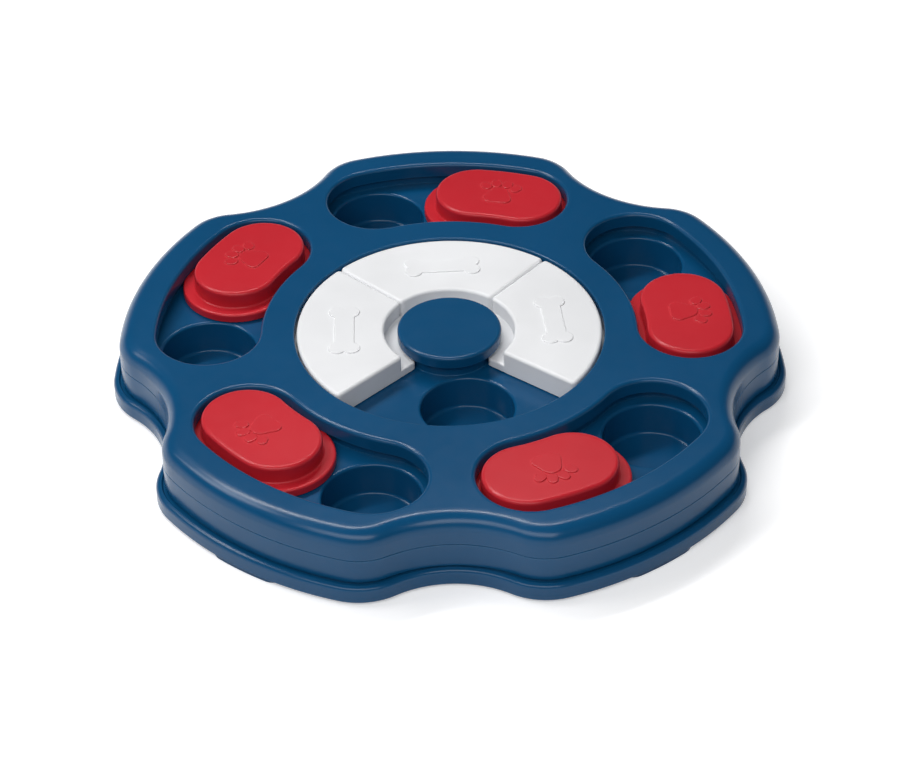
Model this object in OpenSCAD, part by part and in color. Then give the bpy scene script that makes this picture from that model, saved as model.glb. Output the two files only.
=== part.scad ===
// Dog puzzle feeder: a five-lobed blue case with five red sliders that run in curved slots over
// pairs of treat wells, and three white sector lids that turn round a centre knob over four more.
// Millimetres. +Z is up, the origin is on the table under the centre, and +Y points at the back lobe.

/* [Case outline] */
// Radius of the five lobes of the case, from the centre
lobe_r = 138.7; // [134:0.1:148]
// Depth of the notches between the lobes
notch_depth = 15.1; // [12:0.1:18]
// Radius of the hollow curve of a notch
notch_r = 53; // [45:0.5:65]
// Radius of the rounded corners of a lobe
corner_r = 22.5; // [18:0.5:28]
// Rounding of the top edge of the case
edge_r = 6.6; // [2:0.1:9]

/* [Case heights] */
// Height of the three shells together, without the feet
case_h = 30.8; // [29:0.1:45]
// Height of the skirt at the bottom
skirt_h = 7.3; // [6:0.1:9]
// Depth from the top face to the parting seam
seam_depth = 12.4; // [12:0.1:14]
// Depth from the top face to the floor that the lids slide on
floor_depth = 11; // [10:0.1:11.5]

/* [Shells] */
// Wall thickness of the shells
wall = 3; // [2:0.1:3.2]
// Thickness of the plates of tray and base
plate = 2.5; // [1.8:0.1:2.6]
// How far the skirt stands out past the case at the lobes
skirt_out = 3.8; // [1:0.1:8]
// How far the skirt stands out past the case in the notches
skirt_notch_out = 2.6; // [1:0.1:6]
// Radius of the hollow curve of a notch of the skirt
skirt_notch_r = 42.7; // [38:0.1:60]
// Radius of the lobe corners of the skirt
skirt_corner_r = 27; // [20:0.5:32]
// Rounding of the top edge of the skirt
skirt_edge_r = 2.6; // [1:0.1:3.5]

/* [Slots and sliders] */
// Width of the top face between a slot and the centre opening
inner_border = 14.1; // [13:0.1:16]
// Width of the top face between a slot and the outline of a lobe
outer_border = 15.8; // [14:0.1:18]
// Angle from a lobe's axis to the centre of each round end of its slot
slot_angle = 18; // [16:0.1:19]
// Depth of the rim that hangs down round each opening of the cover
rim_depth = 6.6; // [5:0.1:7.5]
// Gap between a slider's knob and the sides of its slot
knob_gap = 3.7; // [2:0.1:8]
// How far a slider's flange reaches under the cover
flange_reach = 1.5; // [1.2:0.1:2]
// Thickness of the flanges of sliders and sectors
flange_t = 3.9; // [2:0.1:4]
// Half the angle between the round ends of a slider
slider_angle = 5.7; // [3:0.1:7]
// How far the knobs stand above the top face
knob_proud = 0.7; // [0:0.1:4]
// Rounding of the top edge of a knob
knob_edge_r = 1.6; // [0.5:0.1:3]
// Angle from a lobe's axis to a slider at the end of its travel
slider_rest = 13.2; // [8:0.1:14]

/* [Wells] */
// How far a slot is wider than its wells on each side
well_inset = 1.9; // [1.2:0.1:5]
// Angle from a lobe's axis to the centre of each outer well
well_angle = 17.7; // [15:0.1:18.5]
// Radius of the inner wells
inner_well_r = 19.3; // [14:0.1:20]
// Width of the floor between the hub and an inner well
inner_well_gap = 2.4; // [2.1:0.1:4]
// Direction of the open inner well
inner_well_turn = -80; // [-90:1:-70]

/* [Centre] */
// Radius of the round opening of the cover
ring_r = 65; // [63:0.1:66]
// Gap between the white sectors and the edge of the opening
ring_gap = 1; // [0.6:0.1:4]
// Inner radius of the upper part of a sector
sector_in_r = 27.3; // [24:0.1:34]
// Angle that one sector covers
sector_angle = 87.1; // [70:0.1:88]
// Radius of the hub in the centre
hub_r = 18.6; // [15:0.1:19]
// Radius of the centre cap
cap_r = 21.8; // [21.5:0.1:23.5]
// Thickness of the centre cap
cap_t = 5.4; // [4:0.1:6]

/* [Screws and feet] */
// Radius of the screw shanks
screw_r = 1.45; // [1:0.05:1.6]
// Radius of the screw heads
screw_head_r = 3.1; // [2.5:0.1:3.2]
// Height of the screw heads
screw_head_h = 2.2; // [1.5:0.1:2.6]
// How far the feet stand below the base
foot_proud = 1.5; // [1:0.1:4]
// Half the width of a foot
foot_w = 7; // [5:0.1:8]
// Angle from a lobe's axis to the centre of each round end of its foot
foot_angle = 4.6; // [2:0.1:9]

/* [Hidden] */
lobes = 5;
lobe_step = 360 / lobes;
// sliding gap under and over a moving flange
slide_gap = 0.3;
// gap between a part and the walls beside it
side_gap = 0.6;
// gap round a pin, stem or shank in its hole
pin_gap = 0.08;
// small overlap that joins two shapes of one moulding
lap = 0.5;
// length by which a cutter passes through what it cuts
through = 1;

// thickness of the walls and bottoms of the wells
well_wall = 2;

base_z = foot_proud;
base_plate_z = base_z + plate;
top_z = base_z + case_h;
skirt_z = base_z + skirt_h;
seam_z = top_z - seam_depth;
floor_z = top_z - floor_depth;
rim_z = top_z - rim_depth;
well_z = base_plate_z + well_wall + slide_gap;
flange_z = floor_z + slide_gap;
flange_top_z = min(flange_z + flange_t, rim_z - slide_gap);
knob_z = top_z + knob_proud;
tray_plate_z = floor_z - plate;

// notches, and the skirt's own lobes
valley_r = lobe_r - notch_depth;
skirt_lobe_r = lobe_r + skirt_out;
skirt_valley_r = valley_r + skirt_notch_out;

// slots lie between the centre opening and the outline of the lobes
slot_w = (lobe_r - ring_r - inner_border - outer_border) / 2;
track_r = ring_r + inner_border + slot_w;
knob_w = slot_w - knob_gap;
flange_w = slot_w + flange_reach;
well_r = slot_w - well_inset;
inner_well_at = hub_r + inner_well_gap + inner_well_r;
sector_r = ring_r - ring_gap;

// walls that guide the flanges, and the rims that rest on them. The middle one stands ring_hold
// outside the centre opening
guide_t = 2;
track_half_w = flange_w + side_gap;
ring_hold = 2.8;
ring_track_r = ring_r + ring_hold;
slot_rim = track_half_w - slot_w + guide_t - lap;
ring_rim = ring_track_r - ring_r + guide_t - lap;
// half the angle between the round ends of a guide wall
track_angle = slider_rest + slider_angle;
// gap round the tray's lip in the cover, and over the end of a peg in its hole
fit_gap = 0.2;
// the floor is one round piece in the middle and one piece a lobe. Their edges miss the posts
floor_split_r = ring_track_r + guide_t + through;
floor_split_turn = 4;

// screw posts: an outer ring in the notches and an inner ring round the centre opening
outer_post_in = 13.6;
inner_post_out = 9;
post_rings = [valley_r - outer_post_in, ring_r + inner_post_out];
post_r = 3.5;
post_base_r = 5;
head_clear = 0.4;
// width of the cross in a screw's head
recess_w = 0.7;
counterbore = 8;
screw_head_z = base_z + counterbore;
screw_clear = 1;
screw_tip_z = top_z - wall - screw_clear;

// centre hub, cap and washer
cap_proud = 0.4;
cap_z = top_z + cap_proud - cap_t;
cap_edge_r = 1.3;
hub_top_z = cap_z;
hub_wall = 2.5;
stem_r = 4;
stem_gap = 0.1;
stem_z = hub_top_z - hub_wall - stem_gap;
washer_r = 7;
washer_t = 1;
knob_screw_depth = 2;
knob_screw_tip_z = top_z - knob_screw_depth;

// sectors
sector_flange_in = hub_r + 1;
sector_flange_out = ring_track_r - side_gap;
sector_edge_r = 1.2;
sector_gap_angle = 0.4;
// directions of the middles of the three sectors
sector_back_at = 93.4;
sector_left_at = sector_back_at + sector_angle + sector_gap_angle;
sector_right_at = sector_back_at - sector_angle - sector_gap_angle;

// raised figures
relief_h = 0.5;
bone_in = 1.6;
bone_at = (sector_in_r + sector_r) / 2 - bone_in;
bone_half = 12.5;
bone_shaft = 4.1;
bone_end_r = 3.6;
bone_spread = 2.9;
paw_pad_r = 6;
paw_toe_r = 2.7;
paw_toe_at = 9.4;
paw_toe_spread = 31;
paw_shift = -2;

// feet, set in from the skirt's edge
foot_in = 0.3;
foot_at = skirt_lobe_r - foot_w - foot_in;
foot_peg_r = 2;
foot_peg_turn = 3;
foot_peg_in = 3.5;
foot_peg_at = foot_at - foot_peg_in;
// plastic left over the end of a peg
peg_cover = 0.9;
foot_peg_h = plate - peg_cover;

$fn = 96;

function polar(r, angle) = [r * cos(angle), r * sin(angle)];
function direction(from, to) = atan2(to[1] - from[1], to[0] - from[0]);
function turned(p, angle) =
    [p[0] * cos(angle) - p[1] * sin(angle), p[0] * sin(angle) + p[1] * cos(angle)];
// points of an arc about a centre, without its last point
function arc(centre, r, from, to, n) =
    [for (i = [0 : n - 1]) centre + polar(r, from + (to - from) * i / n)];

// ---------- outline of the case ----------
// A lobed outline is a large circle with five notches. Each notch is an arc about a centre outside
// the case, and a corner arc joins it to the lobe on each side, tangent to both.
// lobes_of = [lobe radius, distance to the notch bottom, notch radius, corner radius]
case_lobes = [lobe_r, valley_r, notch_r, corner_r];
skirt_lobes = [skirt_lobe_r, skirt_valley_r, skirt_notch_r, skirt_corner_r];

// direction of a lobe's corner centre, measured from the lobe's own axis
function corner_dir(lobe, notch_at, notch, corner) =
    let (a = lobe - corner, b = notch + corner)
    lobe_step / 2 - acos((a * a + notch_at * notch_at - b * b) / (2 * a * notch_at));

// outline moved inwards by inset, as a closed row of points
function lobed_points(lobes_of, inset = 0) =
    let (lobe = lobes_of[0],
         notch = lobes_of[2],
         corner = lobes_of[3],
         notch_at = lobes_of[1] + notch,
         turn = corner_dir(lobe, notch_at, notch, corner),
         first = polar(lobe - corner, turn),
         second = polar(lobe - corner, lobe_step - turn),
         notch_pos = polar(notch_at, lobe_step / 2),
         join = direction(first, notch_pos),
         fifth = [each arc([0, 0], lobe - inset, -turn, turn, 10),
                  each arc(first, corner - inset, turn, join, 6),
                  each arc(notch_pos, notch + inset, join + 180, 180 + lobe_step - join, 9),
                  each arc(second, corner - inset, lobe_step - join, lobe_step - turn, 6)])
    [for (i = [0 : lobes - 1], p = fifth) turned(p, 90 + i * lobe_step)];

// outline of a bean along a slot: half width w about the centreline radius r, round ends at +-angle
function bean_points(r, w, angle) =
    [each arc([0, 0], r + w, -angle, angle, 10),
     each arc(polar(r, angle), w, angle, angle + 180, 18),
     each arc([0, 0], r - w, angle, -angle, 8),
     each arc(polar(r, -angle), w, 180 - angle, 360 - angle, 18)];

// solid through a stack of outlines of as many points each, at the given heights
module stack(rings, heights) {
    n = len(rings[0]);
    top = len(rings) - 1;
    polyhedron(
        points = [for (k = [0 : top], p = rings[k]) [p[0], p[1], heights[k]]],
        faces = [[for (i = [0 : n - 1]) i],
                 [for (i = [n - 1 : -1 : 0]) top * n + i],
                 for (k = [0 : top - 1], i = [0 : n - 1]) let (next = (i + 1) % n)
                     [k * n + i, (k + 1) * n + i, (k + 1) * n + next, k * n + next]]);
}

// angles of the steps of a rounded edge
function rounding(steps) = [for (i = [0 : steps]) 90 * i / steps];

module case_outline(inset = 0) {
    polygon(lobed_points(case_lobes, inset));
}

// lobed block of height h with a top edge rounded by r. The stack of outlines reaches past both
// ends, and a plain slab cuts the top and bottom faces flat.
module lobed_block(lobes_of, h, r) {
    ease = [for (a = rounding(5)) [r * (1 - cos(a)), h - r + r * sin(a)]];
    steps = [[0, -through], each ease, 1.5 * ease[5] - 0.5 * ease[4]];
    used = [for (i = [0 : 7]) if (i != 6) steps[i]];
    intersection() {
        stack([for (step = used) lobed_points(lobes_of, step[0])], [for (step = used) step[1]]);
        cylinder(r = lobes_of[0] + through, h = h);
    }
}

module bean(r, w, angle, h) {
    linear_extrude(h) polygon(bean_points(r, w, angle));
}

// bean of height h with a top edge rounded by edge
module soft_bean(r, w, angle, h, edge) {
    turns = rounding(3);
    stack([bean_points(r, w, angle), for (a = turns) bean_points(r, w - edge * (1 - cos(a)), angle)],
          [0, for (a = turns) h - edge + edge * sin(a)]);
}

// half section of a plate of width w and height h with its upper outer edge rounded
module edge_section(w, h, r) {
    square([w - r, h]);
    square([w, h - r]);
    translate([w - r, h - r]) intersection() {
        circle(r = r);
        square(r);
    }
}

module at_lobes() {
    for (i = [0 : lobes - 1]) rotate(90 + i * lobe_step) children();
}

module at_posts() {
    for (i = [0 : lobes - 1], r = post_rings)
        rotate(90 + (i + 0.5) * lobe_step) translate([r, 0]) children();
}

module at_inner_wells() {
    for (i = [0 : 3]) rotate(inner_well_turn + i * 90) translate([inner_well_at, 0]) children();
}

// ---------- case ----------
// The case is three mouldings. Each is modelled as a few plain pieces that meet face to face.
module top_cover() color("#1f4f7a") {
    difference() {
        translate([0, 0, seam_z]) lobed_block(case_lobes, top_z - seam_z, edge_r);
        translate([0, 0, seam_z - through])
            linear_extrude(top_z - wall - seam_z + through) case_outline(wall);
        translate([0, 0, rim_z]) {
            at_lobes() bean(track_r, slot_w, slot_angle, top_z - rim_z + through);
            cylinder(r = ring_r, h = top_z - rim_z + through);
        }
    }
}

// rims that hang down round the slots and the centre opening
module cover_rims() color("#1f4f7a") translate([0, 0, rim_z]) {
    at_lobes() difference() {
        bean(track_r, slot_w + slot_rim, slot_angle, top_z - wall - rim_z);
        translate([0, 0, -through]) bean(track_r, slot_w, slot_angle, top_z - rim_z);
    }
    difference() {
        cylinder(r = ring_r + ring_rim, h = top_z - wall - rim_z);
        translate([0, 0, -through]) cylinder(r = ring_r, h = top_z - rim_z);
    }
}

// bosses under the cover that the screws bite into
module cover_bosses() color("#1f4f7a") translate([0, 0, floor_z]) at_posts() difference() {
    cylinder(r = post_r, h = top_z - wall - floor_z);
    translate([0, 0, -through])
        cylinder(r = screw_r + pin_gap, h = screw_tip_z - floor_z + through + lap);
}

module at_outer_wells() {
    at_lobes() for (side = [-1, 1]) translate(polar(track_r, side * well_angle)) children();
}

// outer wall, seen between the seam and the skirt
module tray() color("#1f4f7a") translate([0, 0, skirt_z])
    linear_extrude(seam_z - skirt_z) difference() {
        case_outline();
        case_outline(wall);
    }

// floor under the sectors
module tray_floor() color("#1f4f7a") translate([0, 0, tray_plate_z]) difference() {
    cylinder(r = floor_split_r, h = plate);
    translate([0, 0, -through]) {
        at_inner_wells() cylinder(r = inner_well_r, h = plate + 2 * through);
        cylinder(r = hub_r, h = plate + 2 * through);
    }
}

module floor_outline(inset) {
    rotate(-90) intersection() {
        case_outline(inset);
        rotate(90 + floor_split_turn) polygon([[0, 0], polar(2 * lobe_r, -lobe_step / 2),
                                               polar(2 * lobe_r, lobe_step / 2)]);
    }
}

// floor under the slider of the lobe that points along +X. Above the seam its edge is the lip
// inside the cover
module floor_lobe() color("#1f4f7a") translate([0, 0, tray_plate_z]) difference() {
    union() {
        linear_extrude(plate) floor_outline(wall + fit_gap);
        linear_extrude(seam_z - tray_plate_z) floor_outline(wall);
    }
    translate([0, 0, -through]) {
        cylinder(r = floor_split_r, h = plate + 2 * through);
        for (side = [-1, 1]) translate(polar(track_r, side * well_angle))
            cylinder(r = well_r, h = plate + 2 * through);
        rotate(-90) at_posts() cylinder(r = screw_r + pin_gap, h = plate + 2 * through);
    }
}

module tray_floor_back() rotate(90) floor_lobe();
module tray_floor_left() rotate(90 + lobe_step) floor_lobe();
module tray_floor_front_left() rotate(90 + 2 * lobe_step) floor_lobe();
module tray_floor_front_right() rotate(90 + 3 * lobe_step) floor_lobe();
module tray_floor_right() rotate(90 + 4 * lobe_step) floor_lobe();

module well_cup(r) {
    difference() {
        cylinder(r = r + well_wall, h = tray_plate_z - well_z + well_wall);
        translate([0, 0, well_wall]) cylinder(r = r, h = tray_plate_z - well_z + through);
    }
}

module tray_wells() color("#1f4f7a") translate([0, 0, well_z - well_wall]) {
    at_outer_wells() well_cup(well_r);
    at_inner_wells() well_cup(inner_well_r);
}

// low walls round each flange
module tray_guides() color("#1f4f7a") translate([0, 0, floor_z]) {
    at_lobes() difference() {
        bean(track_r, track_half_w + guide_t, track_angle, rim_z - floor_z);
        translate([0, 0, -through])
            bean(track_r, track_half_w, track_angle, rim_z - floor_z + 2 * through);
    }
    difference() {
        cylinder(r = ring_track_r + guide_t, h = rim_z - floor_z);
        translate([0, 0, -through]) cylinder(r = ring_track_r, h = rim_z - floor_z + 2 * through);
    }
}

// hollow post with a top plate that the cap's stem passes through
module tray_hub() color("#1f4f7a") translate([0, 0, tray_plate_z]) difference() {
    cylinder(r = hub_r, h = hub_top_z - tray_plate_z);
    translate([0, 0, -through])
        cylinder(r = hub_r - hub_wall, h = hub_top_z - hub_wall - tray_plate_z + through);
    cylinder(r = stem_r + pin_gap, h = hub_top_z);
}

// bottom plate
module base() color("#1c4870") difference() {
    translate([0, 0, base_z]) linear_extrude(plate) case_outline(wall);
    translate([0, 0, base_z - through]) {
        at_posts() cylinder(r = screw_head_r + head_clear, h = plate + 2 * through);
        at_foot_pegs() cylinder(r = foot_peg_r + pin_gap, h = foot_peg_h + fit_gap + through);
    }
}

// wider ring round the bottom plate
module base_skirt() color("#1c4870") translate([0, 0, base_z]) difference() {
    lobed_block(skirt_lobes, skirt_h, skirt_edge_r);
    translate([0, 0, -through]) linear_extrude(skirt_h + 2 * through) case_outline(wall);
}

// screw posts that reach up to the tray
module base_posts() color("#1c4870") translate([0, 0, base_plate_z]) at_posts() difference() {
    cylinder(r = post_base_r, h = tray_plate_z - base_plate_z);
    translate([0, 0, -through])
        cylinder(r = screw_head_r + head_clear, h = screw_head_z - base_plate_z + through);
    cylinder(r = screw_r + pin_gap, h = case_h);
}

// ---------- sliders ----------
module paw() {
    cylinder(r = paw_pad_r, h = relief_h + lap);
    for (i = [-1.5 : 1 : 1.5]) translate(polar(paw_toe_at, i * paw_toe_spread))
        cylinder(r = paw_toe_r, h = relief_h + lap);
}

// a slider of the lobe that points along +X, at its clockwise end
module slider() color("#c42a36") rotate(-slider_rest) {
    translate([0, 0, flange_z]) bean(track_r, flange_w, slider_angle, flange_top_z - flange_z);
    translate([0, 0, flange_z + lap])
        soft_bean(track_r, knob_w, slider_angle, knob_z - flange_z - lap, knob_edge_r);
    translate([track_r + paw_shift, 0, knob_z - lap]) paw();
}

module slider_back() rotate(90) slider();
module slider_left() rotate(90 + lobe_step) slider();
module slider_front_left() rotate(90 + 2 * lobe_step) slider();
module slider_front_right() rotate(90 + 3 * lobe_step) slider();
module slider_right() rotate(90 + 4 * lobe_step) slider();

// ---------- sectors ----------
// raised bone: a bar with two round knobs at each end, long way across the sector
module bone() {
    translate([-bone_shaft, -bone_half, 0]) cube([2 * bone_shaft, 2 * bone_half, relief_h + lap]);
    for (x = [-1, 1], y = [-1, 1]) translate([x * bone_spread, y * bone_half, 0])
        cylinder(r = bone_end_r, h = relief_h + lap);
}

// section of a sector: inner flange under the cap, outer flange under the cover's rim
module sector_section() {
    translate([sector_flange_in, 0])
        square([sector_flange_out - sector_flange_in, flange_top_z - flange_z]);
    translate([(sector_in_r + sector_r) / 2, 0]) for (side = [0, 1]) mirror([side, 0])
        edge_section((sector_r - sector_in_r) / 2, top_z - flange_z, sector_edge_r);
}

module sector_at(direction) color("#eeeff0") rotate(direction) {
    translate([0, 0, flange_z]) rotate(-sector_angle / 2)
        rotate_extrude(angle = sector_angle) sector_section();
    translate([bone_at, 0, top_z - lap]) bone();
}

module sector_left() sector_at(sector_left_at);
module sector_back() sector_at(sector_back_at);
module sector_right() sector_at(sector_right_at);

// ---------- centre ----------
module knob_cap() color("#1f4f7a") difference() {
    union() {
        translate([0, 0, cap_z]) rotate_extrude() edge_section(cap_r, cap_t, cap_edge_r);
        translate([0, 0, stem_z]) cylinder(r = stem_r, h = cap_z - stem_z + lap);
    }
    translate([0, 0, stem_z - through])
        cylinder(r = screw_r + pin_gap, h = knob_screw_tip_z + lap - stem_z + through);
}

module knob_washer() color("#b9bdc2") translate([0, 0, stem_z - washer_t]) difference() {
    cylinder(r = washer_r, h = washer_t);
    translate([0, 0, -through]) cylinder(r = screw_r + pin_gap, h = washer_t + 2 * through);
}

// pan-head screw standing on its head, with the cross recess in the underside
module screw(tip) {
    difference() {
        union() {
            cylinder(r = screw_head_r, h = screw_head_h);
            cylinder(r = screw_r, h = tip);
        }
        for (turn = [0, 90]) rotate(turn) translate([-screw_r, -recess_w / 2, -through])
            cube([2 * screw_r, recess_w, screw_head_h / 2 + through]);
    }
}

module knob_screw() color("#b9bdc2") translate([0, 0, stem_z - washer_t - screw_head_h])
    screw(knob_screw_tip_z - stem_z + washer_t + screw_head_h);

module case_screws() color("#b9bdc2") translate([0, 0, screw_head_z - screw_head_h]) at_posts()
    screw(screw_tip_z - screw_head_z + screw_head_h);

// ---------- feet ----------
module at_foot_pegs() {
    at_lobes() for (side = [-1, 1]) translate(polar(foot_peg_at, side * foot_peg_turn)) children();
}

// a foot under the lobe that points along +X
module foot() color("#1b4468") {
    bean(foot_at, foot_w, foot_angle, foot_proud);
    for (side = [-1, 1]) translate(polar(foot_peg_at, side * foot_peg_turn))
        cylinder(r = foot_peg_r, h = foot_proud + foot_peg_h);
}

module foot_back() rotate(90) foot();
module foot_left() rotate(90 + lobe_step) foot();
module foot_front_left() rotate(90 + 2 * lobe_step) foot();
module foot_front_right() rotate(90 + 3 * lobe_step) foot();
module foot_right() rotate(90 + 4 * lobe_step) foot();

top_cover();
cover_rims();
cover_bosses();
tray();
tray_floor();
tray_floor_back();
tray_floor_right();
tray_floor_front_right();
tray_floor_front_left();
tray_floor_left();
tray_wells();
tray_guides();
tray_hub();
base();
base_skirt();
base_posts();
slider_back();
slider_right();
slider_front_right();
slider_front_left();
slider_left();
sector_left();
sector_back();
sector_right();
knob_cap();
knob_washer();
knob_screw();
case_screws();
foot_back();
foot_right();
foot_front_right();
foot_front_left();
foot_left();
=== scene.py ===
# %% [markdown]
# # A dog puzzle feeder, dressed for its photograph
# The toy is a low five-lobed case of dark blue plastic. Five red sliders run in curved slots over
# pairs of treat wells, and three white sector lids turn round a centre cap over four more wells.
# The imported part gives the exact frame. This lesson builds a smooth piece over each of its solids,
# gives every piece a moulded-plastic finish, and sets up the light and the camera.

from math import acos, asin, atan2, cos, degrees, radians, sin, tan

import bmesh
import bpy
from mathutils import Matrix, Vector


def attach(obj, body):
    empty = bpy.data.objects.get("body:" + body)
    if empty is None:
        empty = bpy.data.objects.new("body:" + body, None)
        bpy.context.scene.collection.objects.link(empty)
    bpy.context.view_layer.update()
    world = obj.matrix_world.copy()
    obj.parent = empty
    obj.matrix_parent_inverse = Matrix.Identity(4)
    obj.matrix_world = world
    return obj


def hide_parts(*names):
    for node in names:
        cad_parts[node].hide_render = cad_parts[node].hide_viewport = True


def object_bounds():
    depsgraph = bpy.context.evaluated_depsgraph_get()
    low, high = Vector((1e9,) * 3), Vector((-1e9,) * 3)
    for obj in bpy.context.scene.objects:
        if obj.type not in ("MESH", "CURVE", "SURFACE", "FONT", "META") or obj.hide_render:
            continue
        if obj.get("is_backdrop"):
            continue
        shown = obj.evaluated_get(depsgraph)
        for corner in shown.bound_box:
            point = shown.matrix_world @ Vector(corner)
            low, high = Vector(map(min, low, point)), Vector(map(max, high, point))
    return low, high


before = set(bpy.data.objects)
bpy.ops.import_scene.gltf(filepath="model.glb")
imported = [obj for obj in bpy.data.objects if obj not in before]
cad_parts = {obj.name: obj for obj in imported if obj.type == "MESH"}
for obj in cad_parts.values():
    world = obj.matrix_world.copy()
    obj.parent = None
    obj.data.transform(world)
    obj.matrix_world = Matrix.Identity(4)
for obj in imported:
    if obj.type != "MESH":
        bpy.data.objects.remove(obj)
cad_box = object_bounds()
print("box of the solids:", [[round(x, 4) for x in corner] for corner in cad_box])

# %% [markdown]
# ## Sizes
# A case like this is drawn from a handful of numbers: the radii of its outline, and the heights of
# its faces above the table. Everything below is in millimetres and is turned into metres once, when
# a piece is finished. Keeping one list of sizes makes sure that neighbouring pieces still meet.

# %% Heights above the table
FOOT_TOP = 1.5
PEG_TOP = 3.1
HEAD_TOP = 9.5
TOP = 32.3
SKIRT_TOP = 8.8
SEAM, SEAM_GAP = 19.9, .16
CREASE = 1.0
FLOOR = 21.3
RIM = 25.7
WELL_BOTTOM = 6.3
FLANGE = 21.6
FLANGE_TOP = 25.4
KNOB_TOP = 33.0
CAP_BOTTOM = 27.3
CAP_TOP = 32.7
STEM_END = 24.7
WALL, PLATE = 3.0, 2.5
WELL_WALL, GUIDE_WALL = 2.0, 2.0
TRAY_BOTTOM = FLOOR - PLATE
CEILING = TOP - WALL
print("case height", round(TOP - FOOT_TOP, 1), "mm")

# %% Radii and angles in plan
LOBES = 5
STEP = 360 / LOBES
# lobe radius, distance to a notch's bottom, notch radius, corner radius
CASE = (138.7, 123.6, 53.0, 22.5)
SKIRT = (142.5, 126.2, 42.7, 27.0)
TRACK = 101.0
SLOT_HALF, SLOT_TURN = 21.9, 18.0
GUIDE_HALF, GUIDE_TURN = 24.0, 18.9
RING = 65.0
RING_GUIDE = 67.8
WELL, WELL_TURN = 20.0, 17.7
INNER_WELL, INNER_WELL_AT, INNER_WELL_TURN = 19.3, 40.3, -80.0
HUB = 18.6
POST_RINGS = (110.0, 74.0)
BOSS, POST, HEAD_BORE, SCREW_HOLE = 3.5, 5.0, 3.5, 1.53
CAP, STEM, STEM_HOLE = 21.8, 4.0, 4.08
FEET_AT, FOOT_HALF, FOOT_TURN = 135.2, 7.0, 4.6
PEGS_AT, PEG, PEG_HOLE, PEG_TURN = 131.7, 2.0, 2.08, 3.0
lobe_names = ["back", "left", "front_left", "front_right", "right"]
lobe_turns = [90 + STEP * i for i in range(LOBES)]
notch_turns = [turn + STEP / 2 for turn in lobe_turns]
print("lobes point at", lobe_turns)

# %% [markdown]
# ## Outlines drawn by spinning a point
# Every outline here is a row of arcs that flow into each other, the way a draughtsman would draw it
# with a compass. An outline could be typed in as a list of points, but spinning one vertex about
# each arc's centre is shorter and exact. Each vertex also remembers which way is outwards, so the
# outline can later grow or shrink evenly, as an offset curve does.

# %% A compass for outlines
SEGMENT = 1.7   # aimed length of an outline's edges


def polar(radius, turn):
    """A point at a distance from the centre, in a direction given in degrees from +X."""
    return Vector((radius * cos(radians(turn)), radius * sin(radians(turn))))


class Outline:
    """A closed row of vertices on a sheet of its own, each with its outward direction."""

    def __init__(self, start):
        self.bm = bmesh.new()
        self.row = [self.bm.verts.new((*start, 0))]
        self.out = [Vector((0, 0))]

    def arc(self, centre, turn, steps=None):
        """Spins the last vertex about a centre. A left turn bulges out, and a right turn is a hollow."""
        centre = Vector(centre)
        last = self.row[-1]
        reach = (last.co.xy - centre).length
        steps = steps or max(2, round(reach * abs(radians(turn)) / SEGMENT))
        bmesh.ops.spin(self.bm, geom=[last], cent=(*centre, 0), axis=(0, 0, 1), angle=radians(turn),
                       steps=steps, use_merge=False, use_normal_flip=False, use_duplicate=False)
        side = 1 if turn > 0 else -1
        self.out[-1] = (self.out[-1] + side * (last.co.xy - centre).normalized()).normalized()
        known = set(self.row)
        while True:
            ahead = [e.other_vert(last) for e in last.link_edges if e.other_vert(last) not in known]
            if not ahead:
                return self
            last = ahead[0]
            known.add(last)
            self.row.append(last)
            self.out.append(side * (last.co.xy - centre).normalized())

    def straight(self, to):
        """Draws a straight edge with the outside on its right."""
        last = self.row[-1]
        made = bmesh.ops.extrude_vert_indiv(self.bm, verts=[last])["verts"][0]
        made.co = (*to, 0)
        ahead = (made.co - last.co).xy.normalized()
        right = Vector((ahead.y, -ahead.x))
        self.out[-1] = (self.out[-1] + right).normalized()
        self.row.append(made)
        self.out.append(right)
        return self

    def close(self):
        """Welds the last vertex to the first, which lies in the same place."""
        self.out[0] = (self.out[0] + self.out[-1]).normalized()
        bmesh.ops.weld_verts(self.bm, targetmap={self.row[-1]: self.row[0]})
        self.row.pop()
        self.out.pop()
        return self


def edges_of(row):
    """Edges of one closed row of vertices."""
    pairs = zip(row, row[1:] + row[:1])
    found = []
    for a, b in pairs:
        found += [e for e in a.link_edges if e.other_vert(a) is b]
    return found


print("an edge of an outline is about", SEGMENT, "mm long")


# %% The outlines of this toy
def circle(centre, radius):
    centre = Vector(centre)
    return Outline(centre + Vector((radius, 0))).arc(centre, 360).close()


def bean(at, half, turn, towards):
    """A bean along a circle of radius at: half its width, and the angles of its ends and its middle."""
    first, last = polar(at, towards - turn), polar(at, towards + turn)
    drawn = Outline(polar(at + half, towards - turn))
    drawn.arc((0, 0), 2 * turn).arc(last, 180).arc((0, 0), -2 * turn).arc(first, 180)
    return drawn.close()


def lobed(radii):
    """The case's outline: five lobes, and notches with a corner arc on both sides."""
    lobe, valley, notch, corner = radii
    notch_at = valley + notch
    corner_at, apart = lobe - corner, notch + corner
    turn = STEP / 2 - degrees(acos(
        (corner_at ** 2 + notch_at ** 2 - apart ** 2) / (2 * corner_at * notch_at)))
    to_notch = polar(notch_at, STEP / 2) - polar(corner_at, turn)
    join = degrees(atan2(to_notch.y, to_notch.x))
    drawn = Outline(polar(lobe, lobe_turns[0] - turn))
    for lobe_turn in lobe_turns:
        drawn.arc((0, 0), 2 * turn)
        drawn.arc(polar(corner_at, lobe_turn + turn), join - turn)
        drawn.arc(polar(notch_at, lobe_turn + STEP / 2), STEP - 2 * join)
        drawn.arc(polar(corner_at, lobe_turn + STEP - turn), join - turn)
    return drawn.close()


print("points round the case:", len(lobed(CASE).row))

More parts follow.
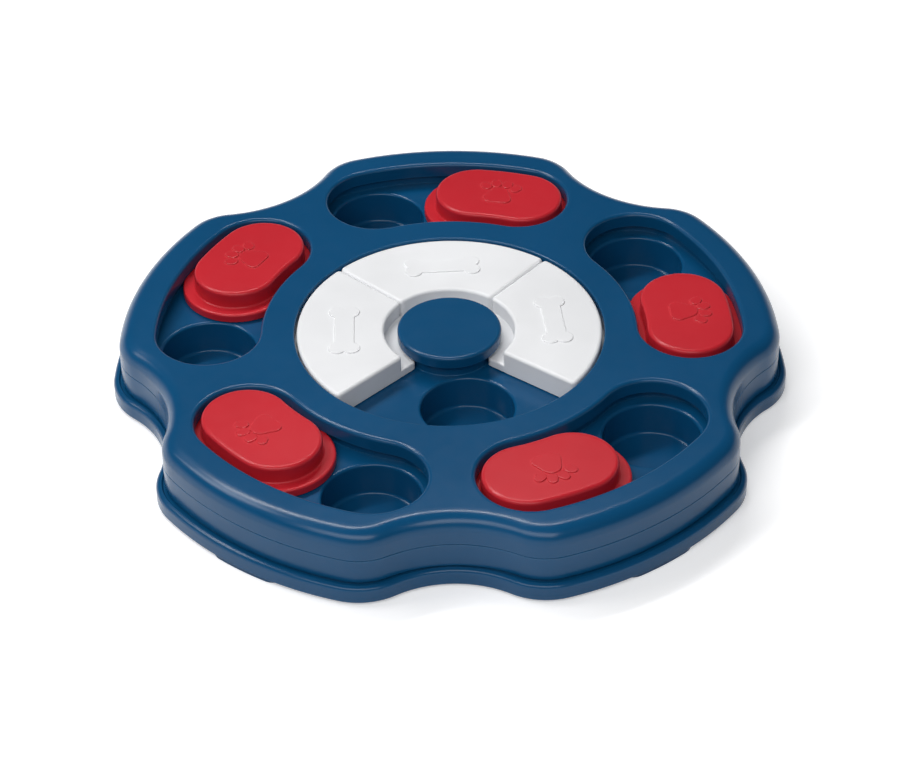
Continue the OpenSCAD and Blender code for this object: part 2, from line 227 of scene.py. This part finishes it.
# %% [markdown]
# ## Walls swept along a profile
# A moulded edge is never sharp: it is a small arc between two faces. A Bevel modifier could round
# it afterwards, but next to the large flat faces with holes in this case it leaves stray creases.
# So the arcs are worked into the profile first, and the outline is extruded once for each point.

# %% Rounded profiles and the sweep
def rounded(points, steps=6):
    """Corners (outwards, up, radius) become a profile in which each radius is a small arc."""
    path = [Vector(points[0][:2])]
    for before, corner, after in zip(points, points[1:], points[2:]):
        here = Vector(corner[:2])
        if len(corner) == 2:
            path.append(here)
            continue
        back = (Vector(before[:2]) - here).normalized()
        ahead = (Vector(after[:2]) - here).normalized()
        half = back.angle(ahead) / 2
        centre = here + (back + ahead).normalized() * corner[2] / sin(half)
        start = here + back * corner[2] / tan(half) - centre
        end = here + ahead * corner[2] / tan(half) - centre
        path += [centre + corner[2] * start.slerp(end, k / steps).normalized() for k in range(steps + 1)]
    return path + [Vector(points[-1][:2])]


def sweep(bm, outline, profile):
    """Extrudes an outline along a profile of (outwards, up) points, and lays the wall into a piece.
    Returns the wall's first and last rows."""
    sheet = outline.bm
    base = [v.co.xy for v in outline.row]
    row = outline.row

    def place(verts, step):
        for v, at, out in zip(verts, base, outline.out):
            v.co = (*(at + out * step[0]), step[1])

    place(row, profile[0])
    for step in profile[1:]:
        made = bmesh.ops.extrude_edge_only(sheet, edges=edges_of(row))["geom"]
        fresh = {v for v in made if isinstance(v, bmesh.types.BMVert)}
        above = {e.other_vert(v): v for v in fresh for e in v.link_edges if e.other_vert(v) not in fresh}
        row = [above[v] for v in row]
        place(row, step)
    sheet.verts.index_update()
    first, last = [v.index for v in outline.row], [v.index for v in row]
    mesh = bpy.data.meshes.new("sheet")
    sheet.to_mesh(mesh)
    sheet.free()
    start = len(bm.verts)
    bm.from_mesh(mesh)
    bpy.data.meshes.remove(mesh)
    bm.verts.ensure_lookup_table()
    return [bm.verts[start + i] for i in first], [bm.verts[start + i] for i in last]


def fill(bm, *rows):
    """Fills the flat area between an outer row and the rows of its holes."""
    bmesh.ops.triangle_fill(bm, use_beauty=True, use_dissolve=False,
                            edges=[e for row in rows for e in edges_of(row)], normal=(0, 0, 1))


print("a rounded corner has", len(rounded([(0, 0), (1, 0, .5), (1, 1)])) - 2, "points")

# %% [markdown]
# ## Socket sums for the finishes
# A finish is a small sum of patterns: a colour that drifts a little, a fine spark-eroded grain, edges
# that rubbing has polished, and a paler colour on the edges that is a painted highlight. Wiring Math
# nodes by hand hides that sum. A small class that
# overloads plus, minus and times lets the code read like the sum, and one method adds every node.

# %% Sockets with arithmetic, and the node maker
class Value:
    """An output socket that can be used in sums."""

    def __init__(self, finish, socket):
        self.finish, self.socket = finish, socket

    def math(self, operation, *terms):
        return self.finish.node("ShaderNodeMath", {"operation": operation}, dict(enumerate(terms)))

    def __add__(self, other):
        return self.math("ADD", self, other)

    def __sub__(self, other):
        return self.math("SUBTRACT", self, other)

    def __rsub__(self, other):
        return self.math("SUBTRACT", other, self)

    def __mul__(self, other):
        return self.math("MULTIPLY", self, other)

    __radd__, __rmul__ = __add__, __mul__

    def between(self, low, high):
        """0 below low, 1 above high, and a straight ramp between them."""
        return self.finish.node("ShaderNodeMapRange", {}, {0: self, 1: low, 2: high, 3: 0.0, 4: 1.0})


class Finish:
    """The nodes of a material or of the world, with one method that adds a node."""

    def __init__(self, owner):
        self.owner = owner
        owner.use_nodes = True
        self.tree = owner.node_tree
        self.tree.nodes.clear()

    def node(self, kind, settings, inputs, output=0):
        made = self.tree.nodes.new(kind)
        for key, setting in settings.items():
            setattr(made, key, setting)
        for key, value in inputs.items():
            if isinstance(value, Value):
                self.tree.links.new(value.socket, made.inputs[key])
            else:
                made.inputs[key].default_value = value
        return Value(self, made.outputs[output]) if made.outputs else made

    def mix(self, factor, low, high):
        """A colour between low and high."""
        return self.node("ShaderNodeMix", {"data_type": "RGBA"}, {0: factor, 6: low, 7: high}, 2)

    def noise(self, place, scale, detail=2.0):
        return self.node("ShaderNodeTexNoise", {}, {"Vector": place, "Scale": scale, "Detail": detail})


print("sums of sockets are ready")

# %% [markdown]
# ## Moulded plastic
# The shells are satin ABS: a clear, even colour under a skin that mirrors a softbox as a soft
# streak. An even grain breaks the mirror up slightly, fingers polish the edges, and the colour
# drifts by a per cent or two where the melt flowed. The edges are also painted a paler colour, which
# is a painted highlight. A bevel node compares the true normal with a softened one, which marks the
# edges whatever the mesh looks like.

# %% The plastic finish
def rgb(red, green, blue):
    """A colour as it looks on screen, turned into light."""
    def light(c):
        c /= 255
        return c / 12.92 if c <= .04045 else ((c + .055) / 1.055) ** 2.4
    return (light(red), light(green), light(blue), 1)


BROAD, CLOUDY, FINE = 22.0, 160.0, 2600.0   # scales of the patterns
# The width of the edge mask, which paints a highlight on the edges and lowers their roughness, and how
# much it lowers it
EDGE_HIGHLIGHT_AND_POLISH_WIDTH, POLISH = .0012, .06


def plastic(name, colour, pale, rough, grain):
    """A moulded finish: its colour, the paler colour painted on the edges as a highlight, roughness and
    depth of grain.
    """
    made = Finish(bpy.data.materials.new(name))
    place = made.node("ShaderNodeTexCoord", {}, {}, "Object")
    drift = made.noise(place, BROAD, 3.0)
    clouds = made.noise(place, CLOUDY, 3.0)
    fine = made.noise(place, FINE, 1.0)
    true = made.node("ShaderNodeNewGeometry", {}, {}, "Normal")
    soft = made.node("ShaderNodeBevel", {"samples": 4}, {"Radius": EDGE_HIGHLIGHT_AND_POLISH_WIDTH})
    facing = made.node("ShaderNodeVectorMath", {"operation": "DOT_PRODUCT"}, {0: true, 1: soft}, "Value")
    # Painted highlight: near the edges the colour is mixed towards the paler colour; the same mask also
    # lowers the roughness there
    painted_edge_highlight_and_polish = (1 - facing).between(.004, .09)
    body = made.mix(drift.between(.35, .65), tuple(c * .96 for c in colour[:3]) + (1,),
                    tuple(min(c * 1.04, 1) for c in colour[:3]) + (1,))
    shown = made.mix(painted_edge_highlight_and_polish * .35, body, pale)
    bump = made.node("ShaderNodeBump", {}, {"Strength": grain, "Distance": .00004,
                                            "Height": fine * .7 + clouds * .5})
    roughness = rough + (clouds - .5) * .08 + (drift - .5) * .05 - painted_edge_highlight_and_polish * POLISH
    shader = made.node("ShaderNodeBsdfPrincipled", {}, {"Base Color": shown, "Roughness": roughness,
                                                        "Normal": bump, "IOR": 1.5,
                                                        "Specular IOR Level": .32})
    made.node("ShaderNodeOutputMaterial", {}, {"Surface": shader})
    return made.owner


# The second colour of each plastic is the paler colour that is painted on its edges as a highlight
blue = plastic("satin_blue", rgb(9, 74, 116), rgb(48, 108, 148), .23, .22)
red = plastic("satin_red", rgb(196, 34, 46), rgb(222, 86, 92), .3, .2)
white = plastic("satin_white", rgb(236, 237, 239), rgb(246, 247, 248), .38, .2)
pad_blue = plastic("foot_blue", rgb(9, 64, 102), rgb(34, 84, 122), .55, .5)
print("plastics:", [m.name for m in (blue, red, white, pad_blue)])

# %% [markdown]
# ## Turned steel
# The screws and the washer are plain bright steel. A flat grey would look like paint, so the colour
# drifts between two near greys where hands have smudged it, and a very fine noise stands for the
# marks of the tool. Metallic is a constant, set on the shader itself.

# %% The steel finish
def steel():
    made = Finish(bpy.data.materials.new("screw_steel"))
    place = made.node("ShaderNodeTexCoord", {}, {}, "Object")
    smudge = made.noise(place, 420.0, 4.0)
    scratch = made.noise(place, 3000.0, 2.0)
    tone = made.mix(smudge.between(.35, .7), rgb(176, 180, 186), rgb(206, 208, 212))
    bump = made.node("ShaderNodeBump", {}, {"Strength": .25, "Distance": .00002, "Height": scratch})
    shader = made.node("ShaderNodeBsdfPrincipled", {}, {"Base Color": tone, "Metallic": 1.0,
                                                        "Roughness": .24 + smudge * .18, "Normal": bump})
    made.node("ShaderNodeOutputMaterial", {}, {"Surface": shader})
    return made.owner


screw_steel = steel()
print("metal:", screw_steel.name)

# %% [markdown]
# ## From drawing to piece
# A finished piece sits at the origin with its place in its mesh, in metres. Its faces are turned
# outwards, smooth shading is cut at the real corners, and a Weighted Normal modifier lets the large
# flat faces keep their flatness right up to their rounded edges.

# %% Finishing a piece
CORNER = radians(38)


def finished(bm, name, material, slot, body, *nodes):
    """Turns a piece drawn in millimetres into an object that rides on a body."""
    bmesh.ops.remove_doubles(bm, verts=bm.verts, dist=1e-4)
    bmesh.ops.recalc_face_normals(bm, faces=bm.faces)
    bmesh.ops.scale(bm, vec=(.001,) * 3, verts=bm.verts)
    mesh = bpy.data.meshes.new(name)
    open_edges = sum(not e.is_manifold for e in bm.edges)
    bm.to_mesh(mesh)
    bm.free()
    mesh.materials.append(material)
    mesh.shade_smooth()
    mesh.set_sharp_from_angle(angle=CORNER)
    piece = bpy.data.objects.new(name, mesh)
    bpy.context.scene.collection.objects.link(piece)
    flat = piece.modifiers.new("flat faces", "WEIGHTED_NORMAL")
    flat.keep_sharp = True
    flat.weight = 60
    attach(piece, body)
    if nodes:
        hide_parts(*nodes)
    print(f"{name}: {len(mesh.polygons)} faces, {open_edges} open edges")


# %% [markdown]
# ## The top cover
# The cover is a thin shell with a generous rounding along its lobed edge. A rim hangs down round
# each slot and round the centre opening, to keep the lids on their floor. It could be a solid with
# booleans cut in it, but boolean edges shade badly. Here each outline is swept into its own wall,
# and two flat fills, the top face and the ceiling inside, close the shell between the walls.

# %% The cover
def post_places():
    """Where the ten screw posts stand."""
    return [polar(at, turn) for turn in notch_turns for at in POST_RINGS]


def build_cover():
    bm = bmesh.new()
    outside, inside = sweep(bm, lobed(CASE), rounded([
        (-8.2, TOP), (0, TOP, 6.6), (0, SEAM + SEAM_GAP / 2, .25), (-2.8, SEAM + SEAM_GAP / 2, .2),
        (-2.8, CEILING)], 9))
    tops, ceilings = [outside], [inside]
    rims = [(bean(TRACK, SLOT_HALF, SLOT_TURN, turn), 1.6, 3.6) for turn in lobe_turns]
    rims.append((circle((0, 0), RING), .6, 4.3))
    for opening, lip, width in rims:
        first, last = sweep(bm, opening, rounded([
            (lip + .6, TOP), (0, TOP, lip), (0, RIM, .3), (width, RIM, .3), (width, CEILING)]))
        tops.append(first)
        ceilings.append(last)
    for place in post_places():
        bore = SCREW_HOLE - BOSS
        first, last = sweep(bm, circle(place, BOSS), [
            (0, CEILING), (0, FLOOR), (bore, FLOOR), (bore, CEILING - .5)])
        ceilings.append(first)
        fill(bm, last)
    fill(bm, *tops)
    fill(bm, *ceilings)
    finished(bm, "cover_shell", blue, "blue_shell", "case",
                    "top_cover", "cover_rims", "cover_bosses")


build_cover()

# %% [markdown]
# ## The tray with its wells
# The tray is the middle shell. Its wall shows between the thin seam and the deep crease, and its
# floor shows through the slots with round wells for the treats. Each well is a cup with a soft lip
# and a soft foot. The cups hang below the plate, so the underside is filled round them as well.

# %% The tray
def well_places():
    """Places and radii of the outer wells, two a lobe, and of the inner wells."""
    outer = [(polar(TRACK, turn + side * WELL_TURN), WELL) for turn in lobe_turns for side in (-1, 1)]
    inner = [(polar(INNER_WELL_AT, INNER_WELL_TURN + 90 * i), INNER_WELL) for i in range(4)]
    return outer, inner


def well(bm, place, radius):
    """A cup open at the floor. Returns the row of its lip."""
    lip, bottom = sweep(bm, circle(place, radius), rounded([
        (1.6, FLOOR), (0, FLOOR, 1.2), (0, WELL_BOTTOM, 1.5), (-2.2, WELL_BOTTOM)], 8))
    fill(bm, bottom)
    return lip


def cup(bm, place, radius):
    """The outside of the same cup below the plate. Returns its upper row."""
    sole = WELL_BOTTOM - WELL_WALL
    upper, bottom = sweep(bm, circle(place, radius + WELL_WALL), rounded([
        (0, TRAY_BOTTOM), (0, sole, 1.2), (-1.6, sole)]))
    fill(bm, bottom)
    return upper


def build_tray():
    bm = bmesh.new()
    plate_top, plate_bottom = sweep(bm, lobed(CASE), rounded([
        (-3.2, FLOOR), (-3.2, SEAM - SEAM_GAP / 2), (0, SEAM - SEAM_GAP / 2, .25),
        (0, SKIRT_TOP, .6), (-.9, SKIRT_TOP), (-.9, SKIRT_TOP - CREASE), (-WALL, SKIRT_TOP - CREASE),
        (-WALL, TRAY_BOTTOM)], 5))
    tops, bottoms = [plate_top], [plate_bottom]
    guide = [(GUIDE_WALL, FLOOR), (GUIDE_WALL, RIM, .4), (0, RIM, .4), (0, FLOOR)]
    outer, inner = well_places()
    for i, turn in enumerate(lobe_turns):
        outside, inside = sweep(bm, bean(TRACK, GUIDE_HALF, GUIDE_TURN, turn), rounded(guide, 3))
        tops.append(outside)
        fill(bm, inside, *[well(bm, *place) for place in outer[2 * i:2 * i + 2]])
    outside, inside = sweep(bm, circle((0, 0), RING_GUIDE), rounded(guide, 3))
    tops.append(outside)
    hub_foot, bore = sweep(bm, circle((0, 0), HUB), rounded([
        (.6, FLOOR), (0, FLOOR, .3), (0, CAP_BOTTOM, .4),
        (STEM_HOLE - HUB, CAP_BOTTOM), (STEM_HOLE - HUB, CAP_BOTTOM - PLATE),
        (-PLATE, CAP_BOTTOM - PLATE), (-PLATE, TRAY_BOTTOM)], 3))
    fill(bm, inside, hub_foot, *[well(bm, *place) for place in inner])
    bottoms += [bore] + [cup(bm, *place) for place in outer + inner]
    for place in post_places():
        first, last = sweep(bm, circle(place, SCREW_HOLE), [(0, FLOOR), (0, TRAY_BOTTOM)])
        tops.append(first)
        bottoms.append(last)
    fill(bm, *tops)
    fill(bm, *bottoms)
    floors = ["tray_floor"] + ["tray_floor_" + name for name in lobe_names]
    finished(bm, "tray_shell", blue, "blue_shell", "case",
                    "tray", "tray_wells", "tray_guides", "tray_hub", *floors)


build_tray()

# %% [markdown]
# ## The base
# The base closes the toy from below. Its skirt stands out past the case all round, which makes the
# crease that runs round the toy, and its lobes have their own, wider outline. Screw posts rise from
# the bottom plate to the tray, and each is bored out from below for the head of its screw.

# %% The base
def foot_places():
    """Where the pegs of the feet are, two a lobe."""
    return [polar(PEGS_AT, turn + side * PEG_TURN) for turn in lobe_turns for side in (-1, 1)]


def build_base():
    bm = bmesh.new()
    bottom, ledge = sweep(bm, lobed(SKIRT), rounded([
        (-1.6, FOOT_TOP), (0, FOOT_TOP, .6), (0, SKIRT_TOP, 2), (-2.3, SKIRT_TOP, .3),
        (-2.9, SKIRT_TOP - CREASE, .3), (-3.2, SKIRT_TOP - CREASE)], 8))
    upper, inside = sweep(bm, lobed(CASE), rounded([
        (-WALL, SKIRT_TOP - CREASE), (-WALL, FOOT_TOP + PLATE, 1), (-WALL - 1.4, FOOT_TOP + PLATE)], 4))
    fill(bm, ledge, upper)
    floors, bottoms = [inside], [bottom]
    for place in post_places():
        bore, head = SCREW_HOLE - POST, HEAD_BORE - POST
        foot, mouth = sweep(bm, circle(place, POST), rounded([
            (.8, FOOT_TOP + PLATE), (0, FOOT_TOP + PLATE, .6), (0, TRAY_BOTTOM), (bore, TRAY_BOTTOM),
            (bore, HEAD_TOP), (head, HEAD_TOP), (head, FOOT_TOP, .4), (head + .6, FOOT_TOP)], 4))
        floors.append(foot)
        bottoms.append(mouth)
    for place in foot_places():
        mouth, end = sweep(bm, circle(place, PEG_HOLE), [(0, FOOT_TOP), (0, PEG_TOP + .2)])
        bottoms.append(mouth)
        fill(bm, end)
    fill(bm, *floors)
    fill(bm, *bottoms)
    finished(bm, "base_shell", blue, "blue_shell", "case", "base", "base_skirt", "base_posts")


build_base()

# %% [markdown]
# ## Raised figures
# A figure moulded on a lid is a low plateau with soft edges. A bump map would look right from above
# and vanish in the exported mesh, so the figures are real, half a millimetre high. Their outlines
# come from the same compass, and their feet are sunk a little into the lid.

# %% Plateaus, a paw and a bone
RELIEF = .5
SUNK = .4


def plateau(bm, outline, top):
    """A raised figure with its crown at top."""
    foot, crown = sweep(bm, outline, rounded([
        (.12, top - RELIEF - SUNK), (.12, top - RELIEF), (0, top, .25), (-.6, top)], 4))
    fill(bm, crown)
    fill(bm, foot)


def belt(discs):
    """An outline like a belt pulled round discs, which are given anticlockwise as (place, radius)."""
    sides = []
    for (here, radius), (there, other) in zip(discs, discs[1:] + discs[:1]):
        way = there - here
        sides.append(degrees(atan2(way.y, way.x) - acos((radius - other) / way.length)))
    drawn = Outline(discs[0][0] + polar(discs[0][1], sides[-1]))
    for i, (place, radius) in enumerate(discs):
        drawn.arc(place, (sides[i] - sides[i - 1]) % 360, 12)
        place, radius = discs[(i + 1) % len(discs)]
        drawn.straight(place + polar(radius, sides[i]))
    return drawn.close()


def paw(bm, at, top):
    """A pad and four toes that point outwards along +X."""
    pad = [((-2.6, -3.2), 3.0), ((1.9, 0), 4.1), ((-2.6, 3.2), 3.0)]
    plateau(bm, belt([(Vector((at + x, y)), radius) for (x, y), radius in pad]), top)
    for i in (-1.5, -.5, .5, 1.5):
        toe = polar(9.1, i * 31)
        ends = [(Vector((at, 0)) + toe - toe.normalized() * .5, 2.3),
                (Vector((at, 0)) + toe + toe.normalized() * .9, 2.0)]
        plateau(bm, belt(ends), top)


def bone(bm, at, top):
    """A bar with two knobs at each end, lying across the +X direction."""
    half, shaft, knob, spread = 12.5, 4.1, 3.6, 2.9
    neck = degrees(acos((shaft - spread) / knob))
    turn = neck + degrees(acos(-spread / knob))
    reach = half - knob * sin(radians(neck))
    drawn = Outline((at + shaft, reach))
    drawn.arc((at + spread, half), turn, 16).arc((at - spread, half), turn, 16)
    drawn.straight((at - shaft, -reach))
    drawn.arc((at - spread, -half), turn, 16).arc((at + spread, -half), turn, 16)
    plateau(bm, drawn.straight((at + shaft, reach)).close(), top)


print("relief", RELIEF, "mm")

# %% [markdown]
# ## The red sliders
# A slider is a bean-shaped knob on a wider bean-shaped flange, and the flange keeps it under the
# cover. Knob and flange share their centrelines, so one outline swept along a stepped profile makes
# both. All five are the same moulding, turned to its lobe and pushed to the end of its slot.

# %% Sliders
KNOB_HALF, KNOB_TURN = 18.2, 5.7
FLANGE_OUT = 5.2
REST = 13.2   # the sliders rest this many degrees clockwise of their lobes' middles


def build_slider(name, towards):
    bm = bmesh.new()
    bottom, crown = sweep(bm, bean(TRACK, KNOB_HALF, KNOB_TURN, 0), rounded([
        (FLANGE_OUT - 1.6, FLANGE), (FLANGE_OUT, FLANGE, .5), (FLANGE_OUT, FLANGE_TOP, 1),
        (0, FLANGE_TOP, .8),
        (0, KNOB_TOP, 1.6), (-2.6, KNOB_TOP)], 8))
    fill(bm, bottom)
    fill(bm, crown)
    paw(bm, TRACK - 2, KNOB_TOP + RELIEF)
    bmesh.ops.rotate(bm, verts=bm.verts, cent=(0, 0, 0),
                     matrix=Matrix.Rotation(radians(towards - REST), 3, "Z"))
    finished(bm, name + "_moulding", red, "red_slider", name, name)


for name, turn in zip(lobe_names, lobe_turns):
    build_slider("slider_" + name, turn)

# %% [markdown]
# ## The white sectors
# Each sector is almost a quarter of a ring: a thick lid on a thin, wider plate whose inner and outer
# flanges hide under the cap and the cover. A spun section with bevelled ends seems natural, but the
# bevel folds over itself in the corners of the section. Two swept outlines with rounded corners, one
# sunk in the other, stay clean. The plate's ends lie a hair inside those of the lid.

# %% Sectors
LID_IN, LID_OUT = 27.3, 64.0
PLATE_IN, PLATE_OUT = 19.6, 67.2
BONE_AT = 44.0
SECTOR_ANGLE = 87.1
SECTOR_BACK = 93.4
SECTOR_STEP = SECTOR_ANGLE + .4


def quarter(inner, outer, half, corner):
    """A piece of a ring about +X, with rounded corners."""
    far, near = outer - corner, inner + corner
    far_turn = degrees(asin(corner / far))
    near_turn = degrees(asin(corner / near))
    drawn = Outline(polar(outer, far_turn - half)).arc((0, 0), 2 * (half - far_turn))
    drawn.arc(polar(far, half - far_turn), 90 + far_turn, 8)
    drawn.straight(polar(near, half - near_turn) + polar(corner, half + 90))
    drawn.arc(polar(near, half - near_turn), 90 - near_turn, 8).arc((0, 0), 2 * (near_turn - half))
    drawn.arc(polar(near, near_turn - half), 90 - near_turn, 8)
    drawn.straight(polar(far, far_turn - half) + polar(corner, -half - 90))
    return drawn.arc(polar(far, far_turn - half), 90 + far_turn, 8).close()


def build_sector(name, towards):
    bm = bmesh.new()
    foot, crown = sweep(bm, quarter(LID_IN, LID_OUT, SECTOR_ANGLE / 2, 2), rounded([
        (-1.2, FLANGE), (0, FLANGE, .4), (0, TOP, 1.4), (-1.9, TOP)], 7))
    sole, back = sweep(bm, quarter(PLATE_IN, PLATE_OUT, SECTOR_ANGLE / 2 - .06, 1.6), rounded([
        (-1.3, FLANGE + .02), (0, FLANGE + .02, .5), (0, FLANGE_TOP, .8), (-1.5, FLANGE_TOP)], 6))
    for row in (foot, crown, sole, back):
        fill(bm, row)
    bone(bm, BONE_AT, TOP + RELIEF)
    bmesh.ops.rotate(bm, verts=bm.verts, cent=(0, 0, 0),
                     matrix=Matrix.Rotation(radians(towards), 3, "Z"))
    finished(bm, name + "_lid", white, "white_sector", name, name)


build_sector("sector_back", SECTOR_BACK)
build_sector("sector_left", SECTOR_BACK + SECTOR_STEP)
build_sector("sector_right", SECTOR_BACK - SECTOR_STEP)

# %% [markdown]
# ## The cap
# The centre cap is a button with a stem, and a screw from below holds the stem. It could be turned
# from a half section with a full spin. One circle swept along the same section does that too, and
# keeps the pole in the middle of the crown a clean flat fill.

# %% The cap
def build_cap():
    bm = bmesh.new()
    stem, bore = STEM - CAP, SCREW_HOLE - CAP
    end, crown = sweep(bm, circle((0, 0), CAP), rounded([
        (bore, TOP - 1.5), (bore, STEM_END), (stem, STEM_END, .3), (stem, CAP_BOTTOM, .4),
        (0, CAP_BOTTOM, .6), (0, CAP_TOP, 1.3), (-2.4, CAP_TOP)], 8))
    fill(bm, crown)
    fill(bm, end)
    finished(bm, "cap_button", blue, "blue_shell", "case", "knob_cap")


build_cap()


# %% [markdown]
# ## The feet
# A thin pad sits under each lobe and is held by two pegs in the bottom plate. Pads and pegs are
# separate closed shapes in one piece, because the pegs are hidden and only need to fill their holes.

# %% The feet
def build_foot(name, towards, pegs):
    bm = bmesh.new()
    sole, back = sweep(bm, bean(FEET_AT, FOOT_HALF, FOOT_TURN, towards), rounded([
        (-1.4, 0), (0, 0, .5), (0, FOOT_TOP, .15), (-.8, FOOT_TOP)], 4))
    fill(bm, sole)
    fill(bm, back)
    for place in pegs:
        foot, end = sweep(bm, circle(place, PEG), rounded([
            (0, FOOT_TOP - .3), (0, PEG_TOP, .3), (-.8, PEG_TOP)], 3))
        fill(bm, foot)
        fill(bm, end)
    finished(bm, name + "_pad", pad_blue, "foot_pad", "case", name)


pegs = foot_places()
for i, name in enumerate(lobe_names):
    build_foot("foot_" + name, lobe_turns[i], pegs[2 * i:2 * i + 2])

# %% [markdown]
# ## Fasteners
# The screws and the washer are simple turned parts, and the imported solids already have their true
# shape. They only get the steel finish.

# %% Steel on the fasteners
for node in ("case_screws", "knob_washer", "knob_screw"):
    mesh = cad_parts[node].data
    mesh.materials.clear()
    mesh.materials.append(screw_steel)
    print(node, "in", screw_steel.name)

# %% [markdown]
# ## A pale studio
# The photograph is a catalogue shot: white from edge to edge, a soft shadow on the floor, and long
# streaks of light along the rounded edges. Turning the lamps up would bleach the white lids, so the
# floor glows a little for the camera alone, and keeps the shadow that the toy casts on it.

# %% The floor
def only_seen(finish):
    """1 for rays from the eye or off gloss and glass, 0 for the rays that light the toy."""
    seen = [finish.node("ShaderNodeLightPath", {}, {}, name) for name in (
        "Is Camera Ray", "Is Glossy Ray", "Is Transmission Ray")]
    return seen[0].math("MAXIMUM", seen[0], seen[1].math("MAXIMUM", seen[1], seen[2]))


GLOW_NEAR, GLOW_FAR = (.36, .36, .36, 1), (.66, .66, .66, 1)
GLOW_RADII = (.17, .5)


def build_floor():
    paper = Finish(bpy.data.materials.new("white_paper"))
    place = paper.node("ShaderNodeTexCoord", {}, {}, "Object")
    tone = paper.mix(paper.noise(place, 30.0) * .2, rgb(246, 246, 247), rgb(250, 250, 250))
    matt = paper.node("ShaderNodeBsdfDiffuse", {}, {"Color": tone})
    away = paper.node("ShaderNodeVectorMath", {"operation": "LENGTH"}, {0: place}, "Value")
    pale = paper.mix(away.between(*GLOW_RADII), GLOW_NEAR, GLOW_FAR)
    glow = paper.node("ShaderNodeEmission", {}, {"Color": pale})
    both = paper.node("ShaderNodeAddShader", {}, {0: matt, 1: glow})
    shown = paper.node("ShaderNodeMixShader", {}, {0: only_seen(paper), 1: matt, 2: both})
    paper.node("ShaderNodeOutputMaterial", {}, {"Surface": shown})
    bm = bmesh.new()
    bmesh.ops.create_grid(bm, x_segments=1, y_segments=1, size=6)
    mesh = bpy.data.meshes.new("floor")
    bm.to_mesh(mesh)
    bm.free()
    mesh.materials.append(paper.owner)
    floor = bpy.data.objects.new("floor", mesh)
    bpy.context.scene.collection.objects.link(floor)
    floor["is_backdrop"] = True
    return floor


floor = build_floor()
print("floor of", [round(x, 1) for x in floor.dimensions], "m")

# %% [markdown]
# ## Light from all round
# A studio's walls send back a little light, so the world gives a weak ambient light. The camera and
# gloss see a white backdrop near the horizon instead, which darkens higher up. A bright world would
# be simpler, but it would wash out the wells and the crease.

# %% World light
AMBIENT = .15
FADE, FADED = (.08, .3), .96   # the backdrop fades between these heights, and by this share


def build_world():
    sky = Finish(bpy.data.worlds.new("studio"))
    way = sky.node("ShaderNodeTexCoord", {}, {}, "Generated")
    height = sky.node("ShaderNodeSeparateXYZ", {}, {0: way}, "Z")
    shown = 1 - height.between(*FADE) * FADED
    backdrop = sky.node("ShaderNodeBackground", {}, {
        "Color": (1, 1, 1, 1), "Strength": only_seen(sky) * (shown - AMBIENT) + AMBIENT})
    sky.node("ShaderNodeOutputWorld", {}, {"Surface": backdrop})
    return sky.owner


bpy.context.scene.world = build_world()
print("world:", bpy.context.scene.world.name, "with ambient light", AMBIENT)

# %% [markdown]
# ## Lamps
# A softbox above and behind the toy gives the crisp bright line along the rounded edges. A weaker
# one in front gives the second, softer line below it, and a lamp at the left throws the shadow to
# the right.

# %% Softboxes
def softbox(name, place, size, watts):
    """A rectangular lamp that points at the toy's middle."""
    lamp = bpy.data.lights.new(name, "AREA")
    lamp.shape = "RECTANGLE"
    lamp.size, lamp.size_y = size
    lamp.energy = watts
    holder = bpy.data.objects.new(name, lamp)
    holder.location = place
    holder.rotation_euler = (-Vector(place)).to_track_quat("-Z", "Y").to_euler()
    bpy.context.scene.collection.objects.link(holder)
    print(name, "at", place, watts, "W")


softbox("overhead", (-.25, .47, 1), (.9, .11), 6.2)
softbox("front", (-.15, -.66, .72), (1, .36), 4.2)
softbox("left", (-.85, .05, .95), (.4, .5), 4)

# %% [markdown]
# ## The camera
# The view was worked out from the outline in the photograph: from straight in front, 38 degrees
# above the horizon, with a long lens about 1.2 m away. The toy sits a little above the middle.

# %% Camera
AZIMUTH, ELEVATION, ROLL = radians(-.09), radians(38.012), radians(-.78)
DISTANCE, AIM = 1.2102, Vector((-.0001, -.0378, .0323))
FOCAL_PIXELS, PICTURE_WIDTH, SENSOR = 2960.9, 900, 36
camera_data = bpy.data.cameras.new("camera")
camera_data.sensor_width = SENSOR
camera_data.lens = SENSOR * FOCAL_PIXELS / PICTURE_WIDTH
camera = bpy.data.objects.new("camera", camera_data)
bpy.context.scene.collection.objects.link(camera)
bpy.context.scene.camera = camera
back = Vector((sin(AZIMUTH) * cos(ELEVATION), -cos(AZIMUTH) * cos(ELEVATION), sin(ELEVATION)))
right = Vector((cos(AZIMUTH), sin(AZIMUTH), 0))
over = back.cross(right)
rolled = Matrix((cos(ROLL) * right + sin(ROLL) * over, cos(ROLL) * over - sin(ROLL) * right, back))
camera.matrix_world = Matrix.LocRotScale(AIM + back * DISTANCE, rolled.transposed().to_quaternion(), None)
camera_data.clip_end = 20
bpy.context.scene.view_settings.view_transform = "Standard"
print("lens", round(camera_data.lens, 1), "mm")

# %% Boxes of both models
boxes = {"cad": [list(corner) for corner in cad_box],
         "visual": [list(corner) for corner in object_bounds()]}
for name, corners in boxes.items():
    print(name, [[round(x * 1000, 2) for x in corner] for corner in corners])
